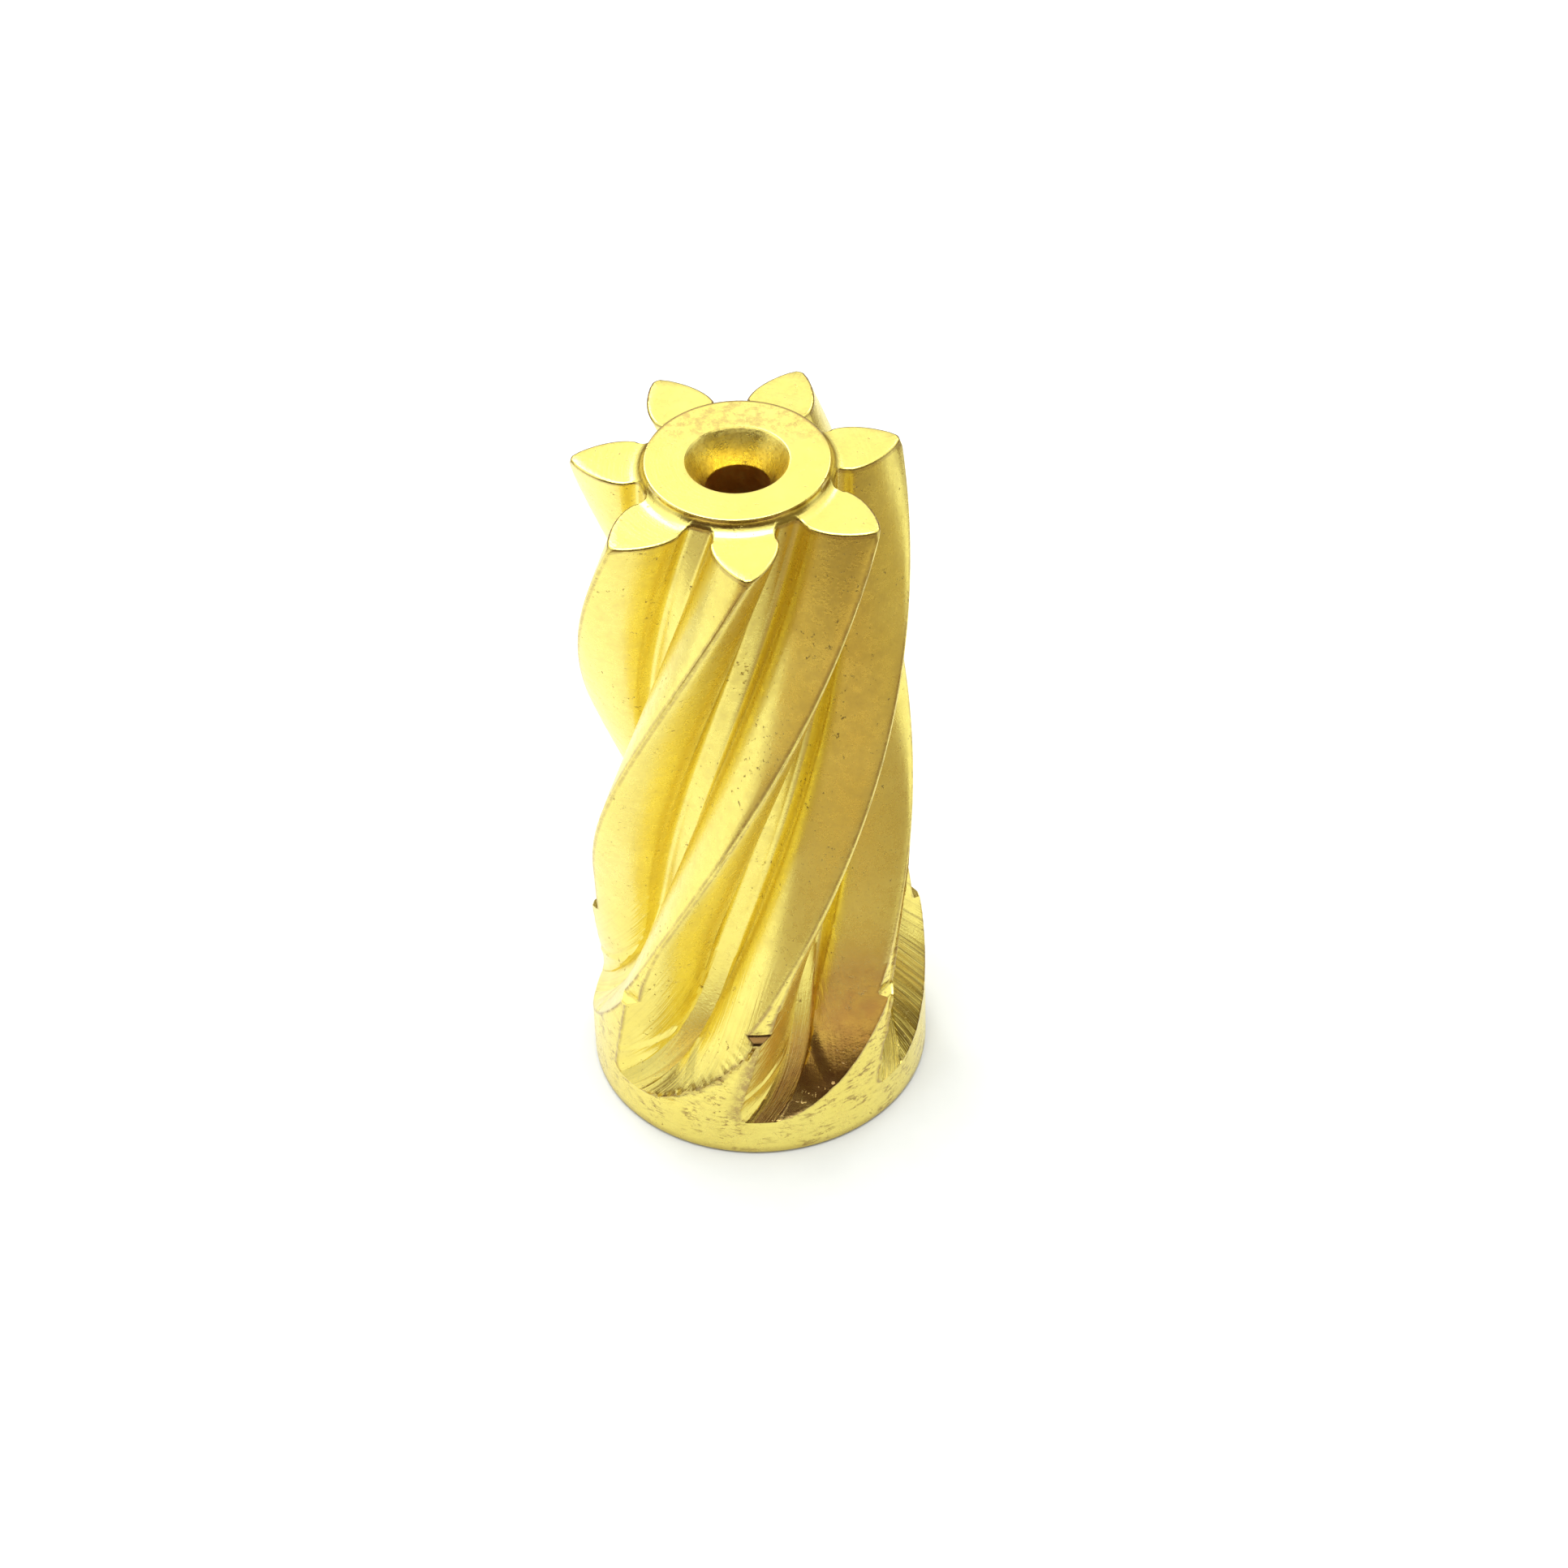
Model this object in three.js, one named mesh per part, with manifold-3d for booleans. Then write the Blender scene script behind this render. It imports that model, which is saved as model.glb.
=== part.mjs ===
// Helical pinion, one piece of machined brass. A round bar is turned to a toothed barrel
// above a slightly larger collar, faced at the top around a low round boss, bored along its
// axis, and hobbed with seven right-hand teeth. The hob leaves the barrel on a long arc, so
// every tooth space fades out into the collar as a rounded trough.
// Millimetres, +Z up: the gear's axis is Z and the collar's flat end lies on Z = 0.

import * as THREE from "three";
import { mergeVertices } from "three/addons/utils/BufferGeometryUtils.js";
import Module from "manifold-3d";

// Gear data. The helix angle is taken on the reference cylinder.
const TEETH = 7;
const NORMAL_MODULE = 1;
const PRESSURE_ANGLE = THREE.MathUtils.degToRad(20);
const HELIX_ANGLE = THREE.MathUtils.degToRad(20);
const PROFILE_SHIFT = 0.55;
const DEDENDUM = 1.25;
const FRONT_TOOTH_DIRECTION = THREE.MathUtils.degToRad(-87);

// Turned bar.
const TOTAL_LENGTH = 25;
const BOSS_HEIGHT = 0.45;
const BOSS_RADIUS = 2.875;
const FILLET_REACH = 0.47;
const FILLET_HEIGHT = 0.4;
const BOSS_EDGE_BREAK = 0.05;
const COLLAR_RADIUS = 5.55;
const COLLAR_EDGE_BREAK = 0.15;
const SHOULDER_FOOT = 5.12;
const SHOULDER_TOP = 5.33;

// Bore, with a 60 degree centre-drilled mouth and a small break at the collar's end.
const BORE_RADIUS = 1;
const MOUTH_RADIUS = 1.6;
const MOUTH_HALF_ANGLE = THREE.MathUtils.degToRad(30);
const BORE_EDGE_BREAK = 0.3;

// Hob run-out: the hob's centre stops at this height, and below it the tooth space rises on
// an arc of this radius. As the hob lifts, the flanks close in by a little more than a plain
// rise would bring them, and the space wanders to the right and then back to the left.
const HOB_STOP = 8.7;
const HOB_ARC = 11.6;
const HOB_TIP_ROUNDING = 0.19;
const CLOSING_FACTOR = 1.2;
const WANDER = THREE.MathUtils.degToRad(16.25);
const WANDER_RETURN = 0.8;
const CORNER_BLEND = 0.3;

// Fineness of the facets.
const LATHE_SEGMENTS = 56;
const FLANK_FRACTIONS = [0, 0.035, 0.12, 0.3, 0.55, 0.8, 1];
const LAND_STEPS = 3;
const TROUGH_LEVELS = 8;
const SHOULDER_LEVELS = 6;
const BARREL_LEVELS = 14;
const FILLET_STEPS = 4;
const FIRST_CUT_RISE = 0.12;
const OVERCUT = 0.5;

// Proportions that follow from the gear data.
const pitchAngle = 2 * Math.PI / TEETH;
const referenceRadius = TEETH * NORMAL_MODULE / (2 * Math.cos(HELIX_ANGLE));
const transverseAngle = Math.atan(Math.tan(PRESSURE_ANGLE) / Math.cos(HELIX_ANGLE));
const baseRadius = referenceRadius * Math.cos(transverseAngle);
const rootRadius = referenceRadius - (DEDENDUM - PROFILE_SHIFT) * NORMAL_MODULE;
const tipRadius = referenceRadius + (1 + PROFILE_SHIFT) * NORMAL_MODULE;
const lead = Math.PI * TEETH * NORMAL_MODULE / Math.sin(HELIX_ANGLE);
const normalThickness = NORMAL_MODULE * (Math.PI / 2 + 2 * PROFILE_SHIFT * Math.tan(PRESSURE_ANGLE));
const toothThickness = normalThickness / Math.cos(HELIX_ANGLE);
const toothHalfAngleAtBase = toothThickness / (2 * referenceRadius) + involute(transverseAngle);
const spaceWidth = pitchAngle * referenceRadius - toothThickness;
const hobTipHalfWidth = spaceWidth / 2 - (referenceRadius - rootRadius) * Math.tan(transverseAngle);
const endFace = TOTAL_LENGTH - BOSS_HEIGHT;
const troughDepth = COLLAR_RADIUS - rootRadius;
const troughEnd = HOB_STOP - Math.sqrt(HOB_ARC ** 2 - (HOB_ARC - troughDepth) ** 2);

function involute(angle) {
  return Math.tan(angle) - angle;
}

function evenSteps(from, to, count) {
  return Array.from({ length: count }, (_, i) => THREE.MathUtils.lerp(from, to, i / (count - 1)));
}

// How far the hob stands out from its full depth at this height.
function hobLift(z) {
  const below = Math.max(HOB_STOP - z, 0);
  return HOB_ARC - Math.sqrt(HOB_ARC ** 2 - below ** 2);
}

// Half the angle that a tooth space spans at this radius, while the hob stands out by lift.
// The hob's straight side rolls out the involute. Its tip corner rolls out the foot of the
// flank on its way in and, once it is well lifted, the whole side on its way out. The space
// is nowhere narrower than the hob's tip.
function spaceHalfAngle(radius, lift) {
  const hobTip = rootRadius + lift;
  const swing = Math.acos(Math.min(hobTip / radius, 1));
  const reach = Math.sqrt(Math.max(radius ** 2 - hobTip ** 2, 0));
  const cornerEntering = swing + (hobTipHalfWidth - reach) / referenceRadius;
  if (radius < baseRadius) return cornerEntering;
  const pressure = Math.acos(baseRadius / radius);
  const alongAction = radius * Math.sin(pressure) - referenceRadius * Math.sin(transverseAngle);
  const contactRadius = referenceRadius + alongAction * Math.sin(transverseAngle);
  const blend = CORNER_BLEND * Math.max(contactRadius - hobTip, 0);
  const cornerLeaving = (hobTipHalfWidth - HOB_TIP_ROUNDING + reach) / referenceRadius - swing;
  const toothHalfAngle = toothHalfAngleAtBase - involute(pressure);
  const closing = CLOSING_FACTOR * lift * Math.tan(transverseAngle) / referenceRadius;
  const flank = pitchAngle / 2 - toothHalfAngle - closing;
  const narrowest = hobTipHalfWidth / referenceRadius;
  return Math.max(cornerEntering, narrowest, Math.min(flank, cornerLeaving + blend));
}

// How far the middle of a space has wandered from the plain helix, as an angle.
function wanderAngle(lift) {
  const fade = Math.min(lift / troughDepth, 1);
  return WANDER * fade * (WANDER_RETURN - fade);
}

// Radius of the turned bar at this height, before hobbing.
function barRadius(z) {
  if (z < COLLAR_EDGE_BREAK) return COLLAR_RADIUS - COLLAR_EDGE_BREAK + z;
  return THREE.MathUtils.mapLinear(
    THREE.MathUtils.clamp(z, SHOULDER_FOOT, SHOULDER_TOP),
    SHOULDER_FOOT, SHOULDER_TOP, COLLAR_RADIUS, tipRadius,
  );
}

// One pitch of the section as [angle, radius] pairs, from the middle of a space over the
// tooth to the next space: half a root land, a flank, the tooth's land and the other flank.
function pitchOutline(z) {
  const lift = hobLift(z);
  const outer = barRadius(z);
  const root = rootRadius + lift;
  const flankCount = FLANK_FRACTIONS.length;
  const pointCount = 2 * flankCount + LAND_STEPS - 1;
  if (z <= troughEnd) {
    return Array.from({ length: pointCount }, (_, i) => [pitchAngle * (i + 0.5) / pointCount, outer]);
  }
  const flank = FLANK_FRACTIONS.map((fraction) => {
    const radius = THREE.MathUtils.lerp(root, outer, fraction);
    return [spaceHalfAngle(radius, lift), radius];
  });
  const landStart = flank[flankCount - 1][0];
  const land = evenSteps(landStart, pitchAngle - landStart, LAND_STEPS + 1).slice(1, -1);
  const farFlank = flank.map(([angle, radius]) => [pitchAngle - angle, radius]).reverse();
  return [...flank, ...land.map((angle) => [angle, outer]), ...farFlank];
}

// The whole section at this height, turned along the right-hand helix.
function sectionOutline(z) {
  const turn = 2 * Math.PI * (Math.max(z, troughEnd) - endFace) / lead;
  const firstSpace = FRONT_TOOTH_DIRECTION - pitchAngle / 2 + turn + wanderAngle(hobLift(z));
  const pitch = pitchOutline(z);
  const outline = [];
  for (let tooth = 0; tooth < TEETH; tooth++) {
    for (const [angle, radius] of pitch) {
      const direction = firstSpace + tooth * pitchAngle + angle;
      outline.push(new THREE.Vector2(radius * Math.cos(direction), radius * Math.sin(direction)));
    }
  }
  return outline;
}

// Heights of the sections: closer together in the run-out than along the plain barrel.
function sectionHeights() {
  const firstCut = troughEnd + FIRST_CUT_RISE;
  return [
    0,
    COLLAR_EDGE_BREAK,
    troughEnd,
    ...evenSteps(firstCut, SHOULDER_FOOT, TROUGH_LEVELS),
    ...evenSteps(SHOULDER_TOP, HOB_STOP, SHOULDER_LEVELS),
    ...evenSteps(HOB_STOP, TOTAL_LENGTH + OVERCUT, BARREL_LEVELS).slice(1),
  ];
}

// The toothed bar: one section extruded in as many steps as there are heights, with every
// corner then moved to its place on the section at its own height.
function toothedBar() {
  const heights = sectionHeights();
  const sections = heights.map(sectionOutline);
  const pattern = sections[sections.length - 1];
  const cornerName = (x, y) => `${Math.fround(x)} ${Math.fround(y)}`;
  const cornerNumber = new Map(pattern.map((point, i) => [cornerName(point.x, point.y), i]));
  const steps = heights.length - 1;
  const geometry = new THREE.ExtrudeGeometry(new THREE.Shape(pattern), {
    depth: steps,
    steps,
    bevelEnabled: false,
  });
  const position = geometry.getAttribute("position");
  for (let i = 0; i < position.count; i++) {
    const level = Math.round(position.getZ(i));
    const corner = cornerNumber.get(cornerName(position.getX(i), position.getY(i)));
    const place = sections[level][corner];
    position.setXYZ(i, place.x, place.y, heights[level]);
  }
  return geometry;
}

// Everything that turning and drilling leave: the end face, the boss with the hollow fillet
// at its foot, and the bore with its two mouths. It is wider than the teeth all round.
function turnedEnvelope() {
  const beyond = COLLAR_RADIUS + OVERCUT;
  const mouthDepth = (MOUTH_RADIUS - BORE_RADIUS) / Math.tan(MOUTH_HALF_ANGLE);
  const profile = [
    new THREE.Vector2(BORE_RADIUS, BORE_EDGE_BREAK),
    new THREE.Vector2(BORE_RADIUS + BORE_EDGE_BREAK + OVERCUT, -OVERCUT),
    new THREE.Vector2(beyond, -OVERCUT),
    new THREE.Vector2(beyond, endFace),
  ];
  for (const fraction of evenSteps(0, 1, FILLET_STEPS + 1)) {
    const angle = fraction * Math.PI / 2;
    profile.push(new THREE.Vector2(
      BOSS_RADIUS + FILLET_REACH * (1 - Math.sin(angle)),
      endFace + FILLET_HEIGHT * (1 - Math.cos(angle)),
    ));
  }
  profile.push(
    new THREE.Vector2(BOSS_RADIUS, TOTAL_LENGTH - BOSS_EDGE_BREAK),
    new THREE.Vector2(BOSS_RADIUS - BOSS_EDGE_BREAK, TOTAL_LENGTH),
    new THREE.Vector2(MOUTH_RADIUS, TOTAL_LENGTH),
    new THREE.Vector2(BORE_RADIUS, TOTAL_LENGTH - mouthDepth),
    new THREE.Vector2(BORE_RADIUS, BORE_EDGE_BREAK),
  );
  const geometry = new THREE.LatheGeometry(profile, LATHE_SEGMENTS);
  geometry.rotateX(Math.PI / 2);
  return geometry;
}

function toSolid(wasm, geometry) {
  geometry.deleteAttribute("normal");
  geometry.deleteAttribute("uv");
  const merged = mergeVertices(geometry, 1e-5);
  return new wasm.Manifold(new wasm.Mesh({
    numProp: 3,
    vertProperties: new Float32Array(merged.getAttribute("position").array),
    triVerts: new Uint32Array(merged.getIndex().array),
  }));
}

function toGeometry(solid) {
  const mesh = solid.getMesh();
  const geometry = new THREE.BufferGeometry();
  geometry.setAttribute("position", new THREE.BufferAttribute(mesh.vertProperties, mesh.numProp));
  geometry.setIndex(new THREE.BufferAttribute(mesh.triVerts, 1));
  geometry.computeVertexNormals();
  return geometry;
}

function brass() {
  return new THREE.MeshStandardMaterial({ color: 0xd8b84a, roughness: 0.35, metalness: 1 });
}

async function helicalPinion() {
  const wasm = await Module();
  wasm.setup();
  const solid = toSolid(wasm, toothedBar()).intersect(toSolid(wasm, turnedEnvelope()));
  const pinion = new THREE.Mesh(toGeometry(solid), brass());
  pinion.name = "helical_pinion";
  return pinion;
}

const part = new THREE.Group();
part.add(await helicalPinion());

export default part;
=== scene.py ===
"""Brass helical pinion: the finished surface and its studio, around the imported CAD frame.

The pinion is one piece of machined brass, so one mesh stands for the one CAD node. The mesh
repeats the CAD's gear formulas on a fine grid that runs round every tooth and up the helix.
Lengths are millimetres until the mesh is made, and metres in Blender.
"""
import math

import bpy
import numpy as np
from mathutils import Matrix, Vector


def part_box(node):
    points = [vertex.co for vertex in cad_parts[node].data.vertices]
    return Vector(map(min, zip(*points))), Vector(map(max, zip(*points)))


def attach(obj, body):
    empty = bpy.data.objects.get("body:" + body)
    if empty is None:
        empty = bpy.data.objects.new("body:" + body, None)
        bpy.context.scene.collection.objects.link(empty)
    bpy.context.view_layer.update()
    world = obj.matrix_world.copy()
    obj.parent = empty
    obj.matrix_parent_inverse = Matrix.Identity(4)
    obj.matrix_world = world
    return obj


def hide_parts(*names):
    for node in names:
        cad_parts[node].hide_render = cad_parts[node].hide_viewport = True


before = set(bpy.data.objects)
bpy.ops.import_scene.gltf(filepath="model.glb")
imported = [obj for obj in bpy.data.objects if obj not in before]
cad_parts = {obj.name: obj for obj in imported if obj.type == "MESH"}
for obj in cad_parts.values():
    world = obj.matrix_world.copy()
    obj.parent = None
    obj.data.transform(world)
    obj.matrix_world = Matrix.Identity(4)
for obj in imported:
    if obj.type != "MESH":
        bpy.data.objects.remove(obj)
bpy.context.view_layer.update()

MM = 0.001
PINION = "helical_pinion"
low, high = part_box(PINION)

# Gear data, as in the CAD.
TEETH = 7
MODULE = 1.0
PRESSURE_ANGLE = math.radians(20)
HELIX_ANGLE = math.radians(20)
PROFILE_SHIFT = 0.55
DEDENDUM = 1.25
FRONT_TOOTH = math.radians(-87)

# Turned bar, boss and bore, as in the CAD.
LENGTH = high.z / MM
COLLAR = (high.x - low.x) / 2 / MM
BOSS_HEIGHT = 0.45
BOSS = 2.875
FILLET_REACH = 0.47
FILLET_HEIGHT = 0.4
BOSS_EDGE = 0.05
COLLAR_EDGE = 0.15
SHOULDER_FOOT = 5.12
SHOULDER_TOP = 5.33
BORE = 1.0
MOUTH = 1.6
MOUTH_HALF_ANGLE = math.radians(30)
BORE_EDGE = 0.3

# Hob run-out, as in the CAD.
HOB_STOP = 8.7
HOB_ARC = 11.6
HOB_TIP_ROUNDING = 0.19
CLOSING = 1.2
WANDER = math.radians(16.25)
WANDER_RETURN = 0.8
CORNER_BLEND = 0.3

# Finish that the CAD leaves out: how far the tips are lowered and rounded along their
# length and near the end face, and the small breaks at the other edges.
TIP_DROP = 0.04
TIP_BLEND = 0.11
LAND_BLEND = 0.015
DEBURRING = 0.10
DEBURRING_START = 0.7
DEBURRING_LENGTH = 0.6
TIP_BREAK = 0.09
TIP_BREAK_LENGTH = 0.3
NARROW_LAND = 0.3
FACE_EDGE = 0.08
MOUTH_EDGE = 0.04
MOUTH_HOLLOW = 0.02
SHOULDER_EDGE = 0.015

# Burrs and wear: how high the burrs stand on the ragged edge and on the other edges, how
# high the ridge on the far edge of one tooth is, and how deep the scuffs and the nicks are.
# Residue and painted shade reach further beside the ragged edge, where distances count for less.
RAGGED_SPACE = 2
RAGGED_BURR = 0.20
RAGGED_DISTANCE = 0.3
FINE_BURR = 0.022
RIDGE_TOOTH = 3
RIDGE = 0.035
RIDGE_FOOT = 3.2
RIDGE_TOP = 10.5
SCUFF_DEPTH = 0.09
NICK_DEPTH = 0.12

# Tool lines in the run-out of each space: how far they lean, and how deep they are on the
# left and the right flank. Higher up they are all shallow.
LINE_LEAN = (0.3, 0.3, 0.12, 0.35, 0.85, 0.5, 0.3)
LINE_DEPTH_LEFT = (0.4, 0.4, 0.35, 0.28, 0.7, 0.5, 0.4)
LINE_DEPTH_RIGHT = (0.4, 0.4, 0.45, 0.22, 1.0, 0.6, 0.4)
LINE_DEPTH_ABOVE = 0.07
LINES_START = 8.5
LINES_FADE = 3.0

# Painted brown reflection in one space: it covers the right flank below one height and the floor below
# another, and each share of it starts at a distance from the middle of the space.
REFLECTION_SPACE = 3
FLANK_REFLECTION_TOP = 8.0
FLANK_REFLECTION_FADE = 3.0
FLANK_REFLECTION_START = 0.28
FLOOR_REFLECTION_TOP = 4.6
FLOOR_REFLECTION_FADE = 1.2
FLOOR_REFLECTION_START = -0.30
REFLECTION_BORDER = 0.08

PITCH = 2 * math.pi / TEETH
REFERENCE = TEETH * MODULE / (2 * math.cos(HELIX_ANGLE))
TRANSVERSE = math.atan(math.tan(PRESSURE_ANGLE) / math.cos(HELIX_ANGLE))
BASE = REFERENCE * math.cos(TRANSVERSE)
ROOT = REFERENCE - (DEDENDUM - PROFILE_SHIFT) * MODULE
TIP = REFERENCE + (1 + PROFILE_SHIFT) * MODULE
LEAD = math.pi * TEETH * MODULE / math.sin(HELIX_ANGLE)
THICKNESS = MODULE * (math.pi / 2 + 2 * PROFILE_SHIFT * math.tan(PRESSURE_ANGLE)) / math.cos(HELIX_ANGLE)
HALF_AT_BASE = THICKNESS / (2 * REFERENCE) + math.tan(TRANSVERSE) - TRANSVERSE
HOB_TIP_HALF = (PITCH * REFERENCE - THICKNESS) / 2 - (REFERENCE - ROOT) * math.tan(TRANSVERSE)
END_FACE = LENGTH - BOSS_HEIGHT
TROUGH_DEPTH = COLLAR - ROOT
TROUGH_END = HOB_STOP - math.sqrt(HOB_ARC**2 - (HOB_ARC - TROUGH_DEPTH) ** 2)

# Fineness of the grid, and of the curve that each row's points are placed along. The
# points lie evenly where the trough is no deeper than SHALLOW, and keep their roles where it
# is deeper than that by DEEPER.
ROOT_STEPS = 3
FLANK_STEPS = 17
LAND_STEPS = 7
HALF_STEPS = ROOT_STEPS + FLANK_STEPS + LAND_STEPS
COLUMNS = 2 * HALF_STEPS * TEETH
ROOT_SAMPLES = 12
FLANK_SAMPLES = 160
SHALLOW = 0.05
DEEPER = 0.5

# The rows under the end face rise towards the boss over this length, as the fillet does.
RISE_START = 1.5
RISE_LENGTH = 1.45

# Material numbers of the finishes, how far up the teeth the collar's turned finish runs on
# the tooth lands, and how many rows of faces the mouth, the bore and the underside have.
HOBBED, FACED, TURNED, BORED, MOUTHED = 0, 1, 2, 3, 4
LAND_LENGTH = 1.2
MOUTH_ROWS = 9
BORE_ROWS = 8
UNDER_ROWS = 5

# Values of the edge attribute: far from any edge, on a clean step, and painted dark shade all over.
FAR_FROM_EDGE = 9.0
CLEAN_STEP = 0.3
SHADED_STEP = -1.0

# Colours and surface of the brass.
BRASS_LIGHT = (0.91, 0.78, 0.205, 1)
BRASS_DEEP = (0.865, 0.725, 0.175, 1)
# The bore's brown is painted shade: the darkening deep in the hole.
BORE_SHADE_LIGHT = (0.66, 0.36, 0.07, 1)
BORE_SHADE_DEEP = (0.55, 0.27, 0.05, 1)
TARNISH = (0.68, 0.54, 0.16, 1)
GRAIN_SHADE = (0.56, 0.43, 0.13, 1)
SPECK = (0.24, 0.14, 0.045, 1)
# Brown along the edges: partly residue, partly painted shade.
RESIDUE_AND_SHADE = (0.40, 0.27, 0.10, 1)
# The dark step colour is painted shade on the front tooth's step.
STEP_PAINTED_SHADE = (0.075, 0.042, 0.013, 1)
# Painted brown reflection in one space's run-out.
BROWN_REFLECTION = (0.60, 0.38, 0.15, 1)
LINE_SHADE = (0.34, 0.25, 0.08, 1)
FRESH_CUT = -0.08

# Camera: its aim in millimetres from the middle of the underside.
CAMERA_ELEVATION = math.radians(43.03)
CAMERA_DISTANCE = 169.6
CAMERA_AIM = (1.081, 0.0, 11.424)
CAMERA_ROLL = -0.0354
CAMERA_LENS = 121.0
SENSOR_WIDTH = 36.0

# Half the width of the sheet that the pinion stands on, in metres.
FLOOR_HALF = 0.9

# Room light: how strong it is low down and overhead, and how much stronger on the left.
ROOM_LOW = 0.65
ROOM_HIGH = 1.25
ROOM_LEFT = 1.27

# Screens that only the reflections show, in metres, with turns counted from the viewer's
# side. The front one lies on the sheet from its edge out to its radius, and then stands up.
# The back one is lower.
SCREEN_RADIUS = 0.070
SCREEN_TOP = 0.078
SCREEN_LEFT = math.radians(-65)
SCREEN_RIGHT = math.radians(80)
CLOTH_EDGE = 0.026
CLOTH_MIDDLE = 0.045
CLOTH_HEIGHT = 0.0004
BACK_RADIUS = 0.100
BACK_TOP = 0.040
BACK_HEIGHT = 0.0006
BACK_START = math.radians(100)
BACK_END = math.radians(255)
SCREEN_STEPS = 32


def hob_lift(z):
    """How far the hob stands out from its full depth at height z."""
    below = min(max(HOB_STOP - z, 0), HOB_STOP - TROUGH_END)
    return HOB_ARC - math.sqrt(HOB_ARC**2 - below**2)


def space_half_angle(radius, lift):
    """Half the angle that a tooth space spans at each radius, as in the CAD."""
    hob_tip = ROOT + lift
    swing = np.arccos(np.minimum(hob_tip / radius, 1))
    reach = np.sqrt(np.maximum(radius**2 - hob_tip**2, 0))
    entering = swing + (HOB_TIP_HALF - reach) / REFERENCE
    pressure = np.arccos(np.minimum(BASE / radius, 1))
    action = radius * np.sin(pressure) - REFERENCE * math.sin(TRANSVERSE)
    contact = REFERENCE + action * math.sin(TRANSVERSE)
    blend = CORNER_BLEND * np.maximum(contact - hob_tip, 0)
    leaving = (HOB_TIP_HALF - HOB_TIP_ROUNDING + reach) / REFERENCE - swing
    closing = CLOSING * lift * math.tan(TRANSVERSE) / REFERENCE
    flank = PITCH / 2 - (HALF_AT_BASE - (np.tan(pressure) - pressure)) - closing
    rolled = np.maximum(entering, np.minimum(flank, leaving + blend))
    rolled = np.maximum(rolled, HOB_TIP_HALF / REFERENCE)
    return np.where(radius < BASE, entering, rolled)


def turn_at(z):
    """How far a tooth space has turned along the helix at height z, from the end face."""
    return 2 * math.pi * (np.maximum(z, TROUGH_END) - END_FACE) / LEAD


def wander_at(lift):
    """How far a space strays from its helix while the hob lifts out, as in the CAD."""
    fade = min(lift / TROUGH_DEPTH, 1)
    return WANDER * fade * (WANDER_RETURN - fade)


def smooth(t):
    """Eases from 0 to 1 while t goes from 0 to 1."""
    t = np.clip(t, 0, 1)
    return t * t * (3 - 2 * t)


def bar_radius(z):
    """Radius of the bar: a rounded foot, the collar, a sloping shoulder, then the teeth's tips."""
    if z < COLLAR_EDGE:
        return COLLAR - COLLAR_EDGE + math.sqrt(COLLAR_EDGE**2 - (COLLAR_EDGE - z) ** 2)
    if z < SHOULDER_FOOT - SHOULDER_EDGE:
        return COLLAR
    step = smooth((z - SHOULDER_FOOT + SHOULDER_EDGE) / (SHOULDER_TOP - SHOULDER_FOOT + SHOULDER_EDGE))
    return COLLAR + (TIP - COLLAR) * float(step)


def half_section(z):
    """Angles, radii and arc lengths from the middle of a space to the middle of a tooth.

    The points keep their roles from level to level: root land, flank, then tooth land. Where
    the trough is too shallow to hold a corner they are spread evenly along it instead.
    """
    lift = hob_lift(z)
    outer = bar_radius(z) - TIP_BREAK * float(smooth((z - END_FACE + TIP_BREAK_LENGTH) / TIP_BREAK_LENGTH))
    root = min(ROOT + lift, outer)
    if z > SHOULDER_TOP:
        land_half = (PITCH / 2 - float(space_half_angle(np.array([outer]), lift)[0])) * outer
        narrow = max(0, 1 - land_half / (6 * TIP_DROP))
        outer -= TIP_DROP * narrow
    steps = np.linspace(0, 1, FLANK_SAMPLES)
    flank_radius = root + (outer - root) * steps**2
    flank_angle = space_half_angle(flank_radius, lift)
    root_angle = np.linspace(0, 1, ROOT_SAMPLES)[:-1] * flank_angle[0]
    angle = np.concatenate([root_angle, flank_angle])
    radius = np.concatenate([np.full(len(root_angle), root), flank_radius])
    x, y = radius * np.cos(angle), radius * np.sin(angle)
    arc = np.concatenate([[0], np.cumsum(np.hypot(np.diff(x), np.diff(y)))])
    fractions = np.linspace(0, 1, FLANK_STEPS + 1)
    fractions = 0.35 * fractions + 0.65 * fractions**1.8
    corner_arc = arc[len(root_angle)]
    kept = np.concatenate([
        np.linspace(0, corner_arc, ROOT_STEPS + 1)[:-1],
        np.interp(root + (outer - root) * fractions, flank_radius, arc[len(root_angle):]),
    ])
    even = np.linspace(0, arc[-1], ROOT_STEPS + FLANK_STEPS + 1)
    place = even + (kept - even) * float(smooth((outer - root - SHALLOW) / DEEPER))
    angles, radii = np.interp(place, arc, angle), np.interp(place, arc, radius)
    land = np.linspace(angles[-1], PITCH / 2, LAND_STEPS + 1)[1:]
    angles = np.concatenate([angles, land])
    radii = np.concatenate([radii, np.full(LAND_STEPS, outer)])
    arcs = np.concatenate([place, place[-1] + (land - angles[len(place) - 1]) * outer])
    if z > SHOULDER_TOP:
        end_share = float(smooth((z - END_FACE + DEBURRING_START) / DEBURRING_LENGTH))
        angles, radii = round_tip(angles, radii, land_half, end_share)
    return angles, radii, arcs


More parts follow.
